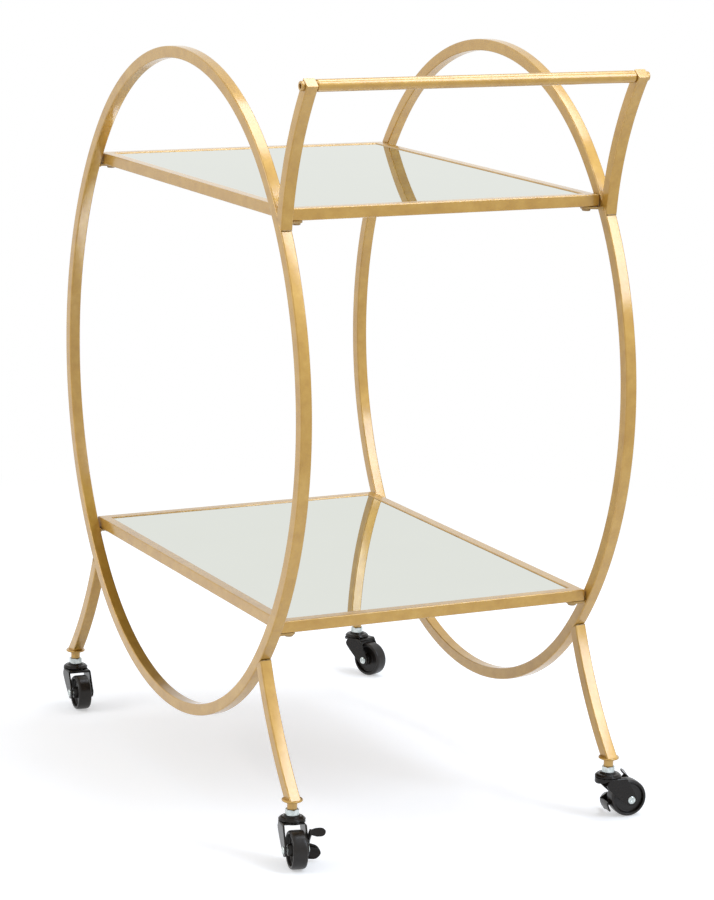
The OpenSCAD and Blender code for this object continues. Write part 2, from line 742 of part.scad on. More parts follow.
bar_left_brake_pin();
bar_right_brake_pin();
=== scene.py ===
import json
from math import acos, asin, atan2, cos, hypot, pi, radians, sin, sqrt
import bmesh
import bpy
from mathutils import Matrix, Vector


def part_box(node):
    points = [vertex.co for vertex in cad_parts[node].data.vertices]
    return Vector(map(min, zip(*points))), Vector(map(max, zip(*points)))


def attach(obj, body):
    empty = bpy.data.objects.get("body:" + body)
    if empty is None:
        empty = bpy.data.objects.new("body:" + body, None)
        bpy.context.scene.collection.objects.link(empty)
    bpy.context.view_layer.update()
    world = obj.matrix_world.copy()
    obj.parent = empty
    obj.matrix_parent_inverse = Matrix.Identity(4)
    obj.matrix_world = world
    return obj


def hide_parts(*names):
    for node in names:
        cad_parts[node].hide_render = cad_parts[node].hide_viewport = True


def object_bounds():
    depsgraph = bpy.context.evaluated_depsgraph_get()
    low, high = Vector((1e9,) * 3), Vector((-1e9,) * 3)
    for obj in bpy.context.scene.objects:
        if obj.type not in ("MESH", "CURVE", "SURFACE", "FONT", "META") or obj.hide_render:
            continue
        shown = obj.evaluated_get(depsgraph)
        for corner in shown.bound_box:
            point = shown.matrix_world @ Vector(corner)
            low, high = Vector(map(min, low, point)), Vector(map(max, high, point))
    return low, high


# Bar cart: two oval hoops of gilt square tube carry two mirror shelves, a push bar on swept
# arms and four legs on black swivel casters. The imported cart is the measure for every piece.
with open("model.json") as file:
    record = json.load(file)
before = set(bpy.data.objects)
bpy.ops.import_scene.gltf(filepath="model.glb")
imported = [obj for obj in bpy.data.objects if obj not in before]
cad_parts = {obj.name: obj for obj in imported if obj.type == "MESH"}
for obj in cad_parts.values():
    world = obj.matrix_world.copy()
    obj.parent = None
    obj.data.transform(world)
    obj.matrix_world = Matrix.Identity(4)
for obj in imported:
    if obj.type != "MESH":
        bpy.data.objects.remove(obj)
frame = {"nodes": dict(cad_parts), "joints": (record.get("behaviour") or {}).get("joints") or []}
cart_lo, cart_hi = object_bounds()


# ---- view ----
# The cart is seen from the push bar end, turned a little to its left side and from a little
# above the upper shelf.
VIEWPOINT = (3.0223, -1.5137, 1.0801)
TURN, DROP, ROLL = 64.678, 11.570, 0.967

view = bpy.data.cameras.new("view")
view.sensor_width = 36
view.lens = 125.04
view.shift_x = 0.0856
view.shift_y = -0.0333
view.clip_end = 60
camera = bpy.data.objects.new("camera", view)
camera.matrix_world = (
    Matrix.Translation(VIEWPOINT)
    @ Matrix.Rotation(radians(TURN), 4, "Z")
    @ Matrix.Rotation(radians(90 - DROP), 4, "X")
    @ Matrix.Rotation(radians(ROLL), 4, "Z")
)
bpy.context.scene.collection.objects.link(camera)
bpy.context.scene.camera = camera
bpy.context.scene.view_settings.view_transform = "Standard"


# ---- floor and light ----
# A plain white studio sweep: a pale floor that keeps the cart's shadow, a white room behind
# it and three wide soft lamps.
FLOOR_SIZE, FLOOR_GAP = 60, 0.0004
FLOOR_GLOW = 0.42
FADE_START, FADE_END = 0.6, 1.5


def new_material(name):
    mat = bpy.data.materials.new(name)
    mat.use_nodes = True
    nodes = mat.node_tree.nodes
    return mat, nodes, mat.node_tree.links, nodes["Principled BSDF"]


# Combines two values, each of them a node's output or a plain number
def math_node(nodes, links, operation, *values):
    node = nodes.new("ShaderNodeMath")
    node.operation = operation
    for socket, value in zip(node.inputs, values):
        if isinstance(value, float):
            socket.default_value = value
        else:
            links.new(value, socket)
    return node.outputs[0]


# One for the rays that the eye or a glossy surface sees, zero for those that light the cart
def shown_ray(nodes, links, *kinds):
    path = nodes.new("ShaderNodeLightPath")
    shown = path.outputs["Is Camera Ray"]
    for kind in kinds:
        shown = math_node(nodes, links, "MAXIMUM", shown, path.outputs[kind])
    return shown


# Matt white paint near the cart, which fades into the plain white of the room
def floor_finish():
    mat, nodes, links, bsdf = new_material("floor_white")
    bsdf.inputs["Base Color"].default_value = (0.80, 0.80, 0.80, 1)
    bsdf.inputs["Roughness"].default_value = 0.9
    bsdf.inputs["Specular IOR Level"].default_value = 0.1
    shown = shown_ray(nodes, links, "Is Glossy Ray")
    glow = nodes.new("ShaderNodeEmission")
    links.new(math_node(nodes, links, "MULTIPLY", shown, FLOOR_GLOW), glow.inputs["Strength"])
    near = nodes.new("ShaderNodeAddShader")
    links.new(bsdf.outputs[0], near.inputs[0])
    links.new(glow.outputs[0], near.inputs[1])
    place = nodes.new("ShaderNodeTexCoord")
    away = nodes.new("ShaderNodeVectorMath")
    away.operation = "LENGTH"
    links.new(place.outputs["Object"], away.inputs[0])
    fade = nodes.new("ShaderNodeMapRange")
    fade.interpolation_type = "SMOOTHSTEP"
    fade.inputs["From Min"].default_value = FADE_START
    fade.inputs["From Max"].default_value = FADE_END
    links.new(away.outputs["Value"], fade.inputs["Value"])
    white = nodes.new("ShaderNodeEmission")
    sweep = nodes.new("ShaderNodeMixShader")
    links.new(math_node(nodes, links, "MULTIPLY", fade.outputs["Result"], shown), sweep.inputs["Fac"])
    links.new(near.outputs[0], sweep.inputs[1])
    links.new(white.outputs[0], sweep.inputs[2])
    links.new(sweep.outputs[0], nodes["Material Output"].inputs["Surface"])
    return mat


bpy.ops.mesh.primitive_plane_add(size=FLOOR_SIZE, location=(0, 0, cart_lo.z - FLOOR_GAP))
floor = bpy.context.object
floor.name = "floor"
floor.data.materials.append(floor_finish())

world = bpy.data.worlds.new("studio")
bpy.context.scene.world = world
world.use_nodes = True
nodes, links = world.node_tree.nodes, world.node_tree.links
room = nodes["Background"]
room.inputs["Color"].default_value = (0.92, 0.95, 1.0, 1)
room.inputs["Strength"].default_value = 0.62
backdrop = nodes.new("ShaderNodeBackground")
backdrop.inputs["Color"].default_value = (1, 1, 1, 1)
mix = nodes.new("ShaderNodeMixShader")
links.new(shown_ray(nodes, links, "Is Glossy Ray", "Is Transmission Ray"), mix.inputs["Fac"])
links.new(room.outputs[0], mix.inputs[1])
links.new(backdrop.outputs[0], mix.inputs[2])
links.new(mix.outputs[0], nodes["World Output"].inputs["Surface"])


def soft_lamp(name, at, to, wide, high, watts, tint=(1, 1, 1)):
    lamp = bpy.data.lights.new(name, "AREA")
    lamp.shape = "RECTANGLE"
    lamp.size, lamp.size_y = wide, high
    lamp.energy = watts
    lamp.color = tint
    ob = bpy.data.objects.new(name, lamp)
    ob.location = at
    ob.rotation_euler = (Vector(to) - Vector(at)).to_track_quat("-Z", "Y").to_euler()
    bpy.context.scene.collection.objects.link(ob)


# The lamps at the bar end and overhead are faintly cool, like daylight
soft_lamp("lamp_left", (-0.6, -3.2, 1.9), (0, 0, 0.4), 1.8, 1.6, 35)
soft_lamp("lamp_bar_end", (2.2, 1.6, 2.6), (0, 0, 0.45), 0.9, 2.4, 43, (0.89, 1.0, 1.18))
soft_lamp("lamp_top", (-0.1, 1.1, 3.4), (0, 0, 0.4), 1.5, 1.2, 28, (0.93, 1.0, 1.12))


# ---- hoops ----
# Each hoop is one length of 12.7 mm square steel tube rolled to a tall oval of four tangent
# arcs, butt welded, ground smooth and brushed with satin gold paint like the whole frame.

# Rounding of the tube's edges, and the spacing of the rings of points along it
EDGE_R, EDGE_STEPS = 0.0013, 3
RING_PITCH = 0.006


# Cloudy variation that is fixed to the piece, at a scale in patches per metre
def cloud(nodes, links, scale, detail, roughness=0.5):
    place = nodes.new("ShaderNodeTexCoord")
    noise = nodes.new("ShaderNodeTexNoise")
    noise.inputs["Scale"].default_value = scale
    noise.inputs["Detail"].default_value = detail
    noise.inputs["Roughness"].default_value = roughness
    links.new(place.outputs["Object"], noise.inputs["Vector"])
    return noise.outputs["Fac"]


# Colour of the piece, from (level of the cloud, colour) stops
def coloured(nodes, links, bsdf, cloud_level, *stops):
    tone = nodes.new("ShaderNodeValToRGB")
    elements = tone.color_ramp.elements
    for element, (level, colour) in zip(elements, (stops[0], stops[-1])):
        element.position = level
        element.color = (*colour, 1)
    for level, colour in stops[1:-1]:
        elements.new(level).color = (*colour, 1)
    links.new(cloud_level, tone.inputs["Fac"])
    links.new(tone.outputs["Color"], bsdf.inputs["Base Color"])


# Roughness of the piece, between two values
def roughened(nodes, links, bsdf, cloud_level, smooth, rough):
    sheen = nodes.new("ShaderNodeMapRange")
    sheen.inputs["To Min"].default_value = smooth
    sheen.inputs["To Max"].default_value = rough
    links.new(cloud_level, sheen.inputs["Value"])
    links.new(sheen.outputs["Result"], bsdf.inputs["Roughness"])


# Fine relief of the finish, with its height in metres
def embossed(nodes, links, bsdf, cloud_level, strength, height):
    bump = nodes.new("ShaderNodeBump")
    bump.inputs["Strength"].default_value = strength
    bump.inputs["Distance"].default_value = height
    links.new(cloud_level, bump.inputs["Height"])
    links.new(bump.outputs["Normal"], bsdf.inputs["Normal"])


# Gold paint with a clear coat; a depth under 1 darkens it, which paints shade on the welds, tabs and screws
def gold_finish(name, depth=1.0):
    mat, nodes, links, bsdf = new_material(name)
    bsdf.inputs["Metallic"].default_value = 0.6
    bsdf.inputs["Coat Weight"].default_value = 1.0
    bsdf.inputs["Coat Roughness"].default_value = 0.16
    bsdf.inputs["Coat IOR"].default_value = 1.64
    patches = cloud(nodes, links, 62, 5, 0.62)
    grain = cloud(nodes, links, 700, 3)
    shades = ((0.30, (0.452, 0.240, 0.024)), (0.52, (0.508, 0.286, 0.036)), (0.74, (0.562, 0.334, 0.056)))
    stops = [(level, [depth * part for part in shade]) for level, shade in shades]
    coloured(nodes, links, bsdf, patches, *stops)
    roughened(nodes, links, bsdf, grain, 0.42, 0.58)
    embossed(nodes, links, bsdf, grain, 0.35, 0.00012)
    return mat


gold = gold_finish("gold_satin")

hoop_lo, hoop_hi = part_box("left_hoop")
right_lo, right_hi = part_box("right_hoop")
tube = hoop_hi.y - hoop_lo.y
half_w = (hoop_hi.x - hoop_lo.x) / 2
half_h = (hoop_hi.z - hoop_lo.z) / 2
hoop_x = (hoop_hi.x + hoop_lo.x) / 2
hoop_z = (hoop_hi.z + hoop_lo.z) / 2
left_y = (hoop_hi.y + hoop_lo.y) / 2
right_y = (right_hi.y + right_lo.y) / 2

# The oval's end and side arcs meet where both point at the angle join
half_diag = hypot(half_w, half_h)
end_r = half_diag * (half_diag - (half_h - half_w)) / (2 * half_h)
side_r = half_diag * (half_diag + (half_h - half_w)) / (2 * half_w)
join = atan2(half_h - end_r, side_r - half_w)
arcs = [
    (half_w - side_r, 0, side_r, -join, join),
    (0, half_h - end_r, end_r, join, pi - join),
    (side_r - half_w, 0, side_r, pi - join, pi + join),
    (0, end_r - half_h, end_r, pi + join, 2 * pi - join),
]


# One ring of the tube's section, as (outward, sideways) offsets from its middle line
def section():
    h = tube / 2 - EDGE_R
    ring = []
    for quarter, (a, b) in enumerate([(h, h), (-h, h), (-h, -h), (h, -h)]):
        for k in range(EDGE_STEPS + 1):
            turn = (quarter + k / EDGE_STEPS) * pi / 2
            ring.append((a + EDGE_R * cos(turn), b + EDGE_R * sin(turn)))
    return ring


# Makes the object from its mesh, smooth except across edges sharper than so many degrees
def finished(name, bm, mat, sharp=38):
    mesh = bpy.data.meshes.new(name)
    bm.to_mesh(mesh)
    bm.free()
    mesh.shade_smooth()
    mesh.set_sharp_from_angle(angle=radians(sharp))
    mesh.materials.append(mat)
    ob = bpy.data.objects.new(name, mesh)
    bpy.context.scene.collection.objects.link(ob)
    flats = ob.modifiers.new("flats", "WEIGHTED_NORMAL")
    flats.keep_sharp = True
    return ob


# Skins a row of rings; the ends are closed with flat faces unless the row is a loop
def skin(name, rings, mat, loop=False, sharp=38):
    bm = bmesh.new()
    rows = [[bm.verts.new(p) for p in ring] for ring in rings]
    n = len(rows[0])
    pairs = list(zip(rows, rows[1:])) + ([(rows[-1], rows[0])] if loop else [])
    for a, b in pairs:
        for k in range(n):
            bm.faces.new((a[k], a[(k + 1) % n], b[(k + 1) % n], b[k]))
    if not loop:
        bm.faces.new(rows[0][::-1])
        bm.faces.new(rows[-1])
    bmesh.ops.recalc_face_normals(bm, faces=bm.faces[:])
    return finished(name, bm, mat, sharp)


def on_frame(ob, slot, *stands_for):
    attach(ob, "frame")
    if stands_for:
        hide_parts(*stands_for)


for side, y in (("left", left_y), ("right", right_y)):
    rings = []
    for cx, cz, r, start, stop in arcs:
        middle = r - tube / 2
        steps = int((stop - start) * r / RING_PITCH)
        for k in range(steps):
            t = start + (stop - start) * k / steps
            rings.append([
                (hoop_x + cx + (middle + a) * cos(t), y + b, hoop_z + cz + (middle + a) * sin(t))
                for a, b in section()
            ])
    hoop = skin(side + "_hoop_tube", rings, gold, loop=True)
    on_frame(hoop, "gold", side + "_hoop")


# ---- arms ----
# Two short lengths of the same tube, bent outward, cope cut and welded to the hoops' outer
# face. Their tops are cut square across their lean, beside the push bar, and plugged flush.

# Radius of the arm's bend, its lean from upright at the bar, and its top's drift outward
ARM_R = 0.306
ARM_LEAN = radians(34)
ARM_DRIFT = 0.0024
BEND_STEPS = 44
# How far the tip's outer lanes end short of the hoop's face, and the inner ones sink in it
TIP_BLUNT, TIP_SINK = 0.0011, 0.002
PLUG_EDGE = 0.0006
WELD_R, WELD_STEPS = 0.0005, 14

# The arms bend about (arm_cx, arm_cz) and end a little short of the push bar's middle
ARM_SHORT = 0.005
bar_lo, bar_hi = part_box("push_bar")
bar_x, bar_z = (bar_lo.x + bar_hi.x) / 2, (bar_lo.z + bar_hi.z) / 2
arm_cx = bar_x + ARM_R * cos(ARM_LEAN)
arm_cz = bar_z - tube / 2 - ARM_R * sin(ARM_LEAN)
arm_end = atan2(bar_z - arm_cz, bar_x - arm_cx) - ARM_SHORT / ARM_R


# Distance of a point from the hoops' outer face, seen from the side
def from_hoop(x, z):
    x, z = abs(x - hoop_x), abs(z - hoop_z)
    if atan2(z, x + side_r - half_w) < join:
        return hypot(x + side_r - half_w, z) - side_r
    return hypot(x, z - half_h + end_r) - end_r


# Rings of a tube bent about (cx, cz) with its middle line at radius r, from the hoop to the
# angle that end_at gives for each lane of the tube. The tip on the hoop stays blunt by the
# thickness of the tube's wall, and the other end drifts outward. The way is 1 at the bar end
# and -1 where the tube is mirrored to the far end.
def bent_rings(y, cx, cz, r, way, end_at, drift=0.0):
    rings = [[] for _ in range(BEND_STEPS + 1)]
    for a, b in section():
        lane = r + a
        end = end_at(lane)
        goal = TIP_BLUNT if a < 0 else -TIP_SINK
        low, high = pi, end
        for _ in range(40):
            mid = (low + high) / 2
            x = hoop_x + (cx + lane * cos(mid) - hoop_x) * way
            if from_hoop(x, cz + lane * sin(mid)) < goal:
                low = mid
            else:
                high = mid
        for k in range(BEND_STEPS + 1):
            t = low + (end - low) * k / BEND_STEPS
            out = lane + drift * (k / BEND_STEPS) ** 3
            x = cx + out * cos(t)
            rings[k].append((hoop_x + (x - hoop_x) * way, y + b, cz + out * sin(t)))
    return rings


# The arm's square end, closed with a slightly rounded edge
def arm_plug(y):
    rings = []
    for inset, beyond in ((0.3 * PLUG_EDGE, 0.3 * PLUG_EDGE), (PLUG_EDGE, 0.6 * PLUG_EDGE)):
        t = arm_end - beyond / ARM_R
        shrink = 1 - 2 * inset / tube
        lanes = [(ARM_R + ARM_DRIFT + a * shrink, b * shrink) for a, b in section()]
        rings.append([(arm_cx + out * cos(t), y + b, arm_cz + out * sin(t)) for out, b in lanes])
    return rings


# A ragged weld bead along a row of points
def weld_bead(name, path, r, mat):
    turns = [pi * m / 6 for m in range(12)]
    rings = []
    for k, p in enumerate(path):
        ahead = (Vector(path[min(k + 1, len(path) - 1)]) - Vector(path[max(k - 1, 0)])).normalized()
        side = ahead.orthogonal().normalized()
        up = ahead.cross(side)
        swell = r * (0.86 + 0.14 * sin(2.4 * k) + 0.08 * sin(5.3 * k + 1))
        if k in (0, len(path) - 1):
            swell *= 0.45
        rings.append([Vector(p) + swell * (cos(turn) * side + sin(turn) * up) for turn in turns])
    return skin(name, rings, mat, sharp=80)


# Darker gold for the tip welds: painted shade where an arm or leg meets the hoop
weld_painted_shade_gold = gold_finish("weld_painted_shade_gold", 0.55)


# The weld across the tip of an arm or leg, where it leaves the hoop. Its darkened gold is painted shade for
# the shadow line at the joint.
def tip_weld(name, ob, y, upper):
    tip = (max if upper else min)((v.co for v in ob.data.vertices), key=lambda p: p.z)
    path = [(tip.x, y + tube * (0.46 - 0.92 * k / WELD_STEPS), tip.z) for k in range(WELD_STEPS + 1)]
    on_frame(weld_bead(name, path, WELD_R, weld_painted_shade_gold), "gold")


for side, y in (("left", left_y), ("right", right_y)):
    rings = bent_rings(y, arm_cx, arm_cz, ARM_R, 1, lambda lane: arm_end, ARM_DRIFT)
    arm = skin(side + "_arm_tube", rings + arm_plug(y), gold)
    on_frame(arm, "gold", side + "_arm", side + "_arm_block")
    tip_weld(side + "_arm_weld", arm, y, False)


# ---- legs ----
# Four lengths of the same tube, bent outward from the underside of the hoops and cut level
# at the foot plates.

# Radius of the leg's bend and its lean from upright at the foot
LEG_R = 0.444
LEG_LEAN = radians(40)

for end, sx in (("bar", 1), ("far", -1)):
    for side, y in (("left", left_y), ("right", right_y)):
        foot_lo, foot_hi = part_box(f"{end}_{side}_foot")
        foot_x = (foot_lo.x + foot_hi.x) / 2
        leg_z = foot_hi.z
        cx = hoop_x + abs(foot_x - hoop_x) + LEG_R * cos(LEG_LEAN)
        cz = leg_z + LEG_R * sin(LEG_LEAN)
        rings = bent_rings(y, cx, cz, LEG_R, sx, lambda lane: pi - asin((leg_z - cz) / lane))
        leg = skin(f"{end}_{side}_leg_tube", rings, gold)
        on_frame(leg, "gold", f"{end}_{side}_leg")
        tip_weld(f"{end}_{side}_leg_weld", leg, y, True)


# ---- push bar ----
# Round steel tube between the arms' square ends, painted with them. Its ends are turned down
# a little, so that a dark line shows where it meets the arms, and a domed socket head screw
# through each arm holds it.

# How much thinner the bar's necks are, and over what length they fall to that
NECK_DROP, FALL = 0.0014, 0.0016
BAR_PITCHES = 12
# The screw heads stand 0.65 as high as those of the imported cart
HEAD_SHARE = 0.65
# Width and depth of their hexagon sockets
BAR_KEY, BAR_SOCKET = 0.005, 0.003
CHAMFER = 0.0003


# Turns a profile of (radius, height) points round an axis that starts at a place and runs
# along a direction. A radius or height may be a function of the angle, for a hexagon. The
# profile starts and ends on the axis, or closes on itself round a bore.
def turned(name, profile, mat, at=(0, 0, 0), along=(0, 0, 1), steps=48, bore=False, sharp=30):
    turn = Vector((0, 0, 1)).rotation_difference(Vector(along)).to_matrix()
    bm = bmesh.new()
    rows = []
    for r, h in profile:
        row = []
        for k in range(steps if callable(r) or r > 1e-6 else 1):
            t = 2 * pi * k / steps
            out, up = (r(t) if callable(r) else r), (h(t) if callable(h) else h)
            row.append(bm.verts.new(turn @ Vector((out * cos(t), out * sin(t), up)) + Vector(at)))
        rows.append(row)
    pairs = list(zip(rows, rows[1:])) + ([(rows[-1], rows[0])] if bore else [])
    for a, b in pairs:
        for k in range(steps):
            m = (k + 1) % steps
            if len(a) == 1:
                bm.faces.new((a[0], b[k], b[m]))
            elif len(b) == 1:
                bm.faces.new((a[k], a[m], b[0]))
            else:
                bm.faces.new((a[k], a[m], b[m], b[k]))
    bmesh.ops.recalc_face_normals(bm, faces=bm.faces[:])
    return finished(name, bm, mat, sharp)


bar_r = (bar_hi.z - bar_lo.z) / 2
bar_l = bar_hi.y - bar_lo.y
neck = bar_r - NECK_DROP
turned_down = [
    (0, 0), (neck, 0), (neck, 0.0009), (bar_r - 0.0007, 0.0012),
    (bar_r - 0.0002, FALL), (bar_r, FALL + 0.0006),
]
bar = turned(
    "push_bar_tube",
    turned_down + [(bar_r, bar_l * k / BAR_PITCHES) for k in range(1, BAR_PITCHES)]
    + [(r, bar_l - h) for r, h in reversed(turned_down)],
    gold, at=(bar_x, bar_lo.y, bar_z), along=(0, 1, 0), steps=64,
)
on_frame(bar, "gold", "push_bar")


# Round screw head with its seat at the given place and a hexagon socket of a key's width
def socket_head(name, at, along, head_r, head_h, key, depth, mat, crown=0.0006):
    turn = Vector((0, 0, 1)).rotation_difference(Vector(along)).to_matrix()
    bm = bmesh.new()
    n = 48

    def row_of(radius, h):
        row = []
        for k in range(n):
            t = 2 * pi * k / n
            r = radius(t)
            row.append(bm.verts.new(turn @ Vector((r * cos(t), r * sin(t), h)) + Vector(at)))
        return row

    def round_row(r, h):
        return row_of(lambda t: r, h)

    def hex_row(flat, h):
        return row_of(lambda t: flat / cos((t + pi / 6) % (pi / 3) - pi / 6), h)

    rows = [
        round_row(head_r - CHAMFER, 0),
        round_row(head_r, CHAMFER),
        round_row(head_r, head_h - crown),
        round_row(head_r - crown * 0.3, head_h - crown * 0.3),
        round_row(head_r - crown, head_h),
        hex_row(key / 2 + CHAMFER, head_h),
        hex_row(key / 2, head_h - CHAMFER),
        hex_row(key / 2, head_h - depth),
        round_row(0.0004, head_h - depth - 0.0006),
    ]
    for a, b in zip(rows, rows[1:]):
        for k in range(n):
            bm.faces.new((a[k], a[(k + 1) % n], b[(k + 1) % n], b[k]))
    bm.faces.new(rows[-1])
    bm.faces.new(rows[0][::-1])
    bmesh.ops.recalc_face_normals(bm, faces=bm.faces[:])
    return finished(name, bm, mat, 28)


screws_lo, screws_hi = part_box("push_bar_screws")
head_r = (screws_hi.z - screws_lo.z) / 2
for side, y, out in (("left", left_y - tube / 2, -1), ("right", right_y + tube / 2, 1)):
    head_h = HEAD_SHARE * (screws_hi.y - y if out > 0 else y - screws_lo.y)
    screw = socket_head(
        side + "_bar_screw", (bar_x, y, bar_z), (0, out, 0), head_r, head_h, BAR_KEY, BAR_SOCKET, gold
    )
    on_frame(screw, "gold", *(["push_bar_screws"] if out > 0 else []))


# ---- feet ----
# A round steel plate is welded to each leg's level cut, with a short threaded sleeve under it
# that takes the caster's stem. Both are painted with the leg.
PLATE_T, SLEEVE_R, BORE = 0.002, 0.0053, 0.00405

for end in ("bar", "far"):
    for side in ("left", "right"):
        lo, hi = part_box(f"{end}_{side}_foot")
        x, y = (lo.x + hi.x) / 2, (lo.y + hi.y) / 2
        plate_r = (hi.x - lo.x) / 2
        height = hi.z - lo.z
        under = height - PLATE_T
        foot = turned(
            f"{end}_{side}_foot_plate",
            [(BORE, 0), (SLEEVE_R - 0.0004, 0), (SLEEVE_R, 0.0004), (SLEEVE_R, under - 0.0012),
             (SLEEVE_R + 0.0004, under - 0.0004), (SLEEVE_R + 0.0012, under),
             (plate_r - 0.0005, under), (plate_r, under + 0.0005),
             (plate_r, height - 0.0006), (plate_r - 0.0006, height), (BORE, height)],
            gold, at=(x, y, lo.z), bore=True,
        )
        on_frame(foot, "gold", f"{end}_{side}_foot")


# ---- shelf frames ----
# Four rails of the same square tube, mitred and welded at the corners, with a thin ledge
# strip inside their lower edge that carries the board and the mirror.

# Width and thickness of the ledge strip, and how deep it is let into the rail
LEDGE_W, LEDGE_T, LEDGE_SINK = 0.009, 0.0015, 0.0006
RAIL_PITCHES = 16


def bevelled_box(name, lo, hi, mat, edge, steps):
    bm = bmesh.new()
    bmesh.ops.create_cube(bm, size=1)
    for v in bm.verts:
        v.co = [(a + b) / 2 + c * (b - a) for a, b, c in zip(lo, hi, v.co)]
    bmesh.ops.bevel(bm, geom=bm.edges[:], offset=edge, segments=steps, profile=0.5, affect="EDGES")
    return finished(name, bm, mat)


for shelf in ("upper", "lower"):
    board_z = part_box(shelf + "_backing")[0].z
    for part, along, inward in (("front", 1, -1), ("back", 1, 1), ("left", 0, 1), ("right", 0, -1)):
        lo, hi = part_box(f"{shelf}_{part}_rail")
        across = 1 - along
        outer = hi[across] if inward < 0 else lo[across]
        centre, half = (lo[along] + hi[along]) / 2, (hi[along] - lo[along]) / 2
        rings = []
        for k in range(RAIL_PITCHES + 1):
            s = 2 * k / RAIL_PITCHES - 1
            ring = []
            for a, b in section():
                p = [0, 0, lo.z + tube / 2 + b]
                p[across] = outer + inward * tube / 2 + inward * a
                p[along] = centre + s * (half - tube / 2 - a)
                ring.append(p)
            rings.append(ring)
        rail = skin(f"{shelf}_{part}_tube", rings, gold)
        on_frame(rail, "gold", f"{shelf}_{part}_rail")
        strip_lo, strip_hi = [0, 0, board_z - LEDGE_T], [0, 0, board_z]
        strip_lo[along] = centre - half + tube + LEDGE_W
        strip_hi[along] = centre + half - tube - LEDGE_W
        edges = outer + inward * (tube - LEDGE_SINK), outer + inward * (tube + LEDGE_W)
        strip_lo[across], strip_hi[across] = min(edges), max(edges)
        ledge = bevelled_box(f"{shelf}_{part}_ledge", strip_lo, strip_hi, gold, 0.0003, 2)
        on_frame(ledge, "gold")


# ---- mirrors ----
# Clear 4 mm float glass silvered on its back, with seamed edges, dropped into each frame so
# that its face lies just under the rails' tops.
def mirror_finish():
    mat, nodes, links, bsdf = new_material("mirror_glass")
    bsdf.inputs["Metallic"].default_value = 1.0
    bsdf.inputs["Specular Tint"].default_value = (0.86, 0.88, 0.85, 1)
    haze = cloud(nodes, links, 9, 6)
    coloured(nodes, links, bsdf, haze, (0, (0.788, 0.798, 0.760)), (1, (0.808, 0.818, 0.780)))
    roughened(nodes, links, bsdf, haze, 0.0, 0.03)
    return mat


silver = mirror_finish()
for shelf in ("upper", "lower"):
    plate = bevelled_box(shelf + "_mirror_plate", *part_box(shelf + "_mirror"), silver, 0.0007, 2)
    on_frame(plate, "mirror", shelf + "_mirror")


# ---- backing boards ----
# Plain brown hardboard, 3 mm thick, lies on the ledge strips under each mirror. It is seen
# only from below.
def board_finish():
    mat, nodes, links, bsdf = new_material("hardboard")
    bsdf.inputs["Roughness"].default_value = 0.72
    fibre = cloud(nodes, links, 420, 6)
    coloured(nodes, links, bsdf, fibre, (0.3, (0.13, 0.085, 0.05)), (0.75, (0.25, 0.17, 0.10)))
    embossed(nodes, links, bsdf, fibre, 0.5, 0.0002)
    return mat


hardboard = board_finish()
for shelf in ("upper", "lower"):
    board = bevelled_box(shelf + "_board", *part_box(shelf + "_backing"), hardboard, 0.0003, 1)
    on_frame(board, "board", shelf + "_backing")


# ---- shelf tabs ----
# Under each shelf corner a flat steel tab is welded to the hoop's inner face, with a bead
# along its lower and upper edge. Its round end takes a pan head screw up into the end rail.
TAB_R, TAB_T, TAB_EDGE, TAB_GAP = 0.0065, 0.0025, 0.0005, 0.00005
# How far the tab's root keeps from the hoop's outer edge, and its beads' middle from its face
TAB_INSET, BEAD_OUT = 0.001, 0.0002
LOW_BEAD, TOP_BEAD, BEAD_STEPS = 0.0012, 0.0009, 12
HEAD_R = 0.0047


# Flat piece cut from sheet: a closed outline between two levels, all its edges rounded, with
# each point put in its place by lay
def cut_sheet(name, outline, lo, hi, edge, mat, lay):
    n = len(outline)

    def inset(d):
        ring = []
        for k in range(n):
            a, b, c = Vector(outline[k - 1]), Vector(outline[k]), Vector(outline[(k + 1) % n])
            u, v = (b - a).normalized(), (c - b).normalized()
            inward = Vector((-u.y - v.y, u.x + v.x)).normalized()
            ring.append(b + inward * d / max(0.4, inward.dot(Vector((-u.y, u.x)))))
        return ring

    quarter = [k * pi / 6 for k in range(4)]
    steps = [(edge * (1 - cos(t)), lo + edge * (1 - sin(t))) for t in reversed(quarter)]
    steps += [(edge * (1 - cos(t)), hi - edge * (1 - sin(t))) for t in quarter]
    return skin(name, [[lay(p.x, p.y, level) for p in inset(d)] for d, level in steps], mat)
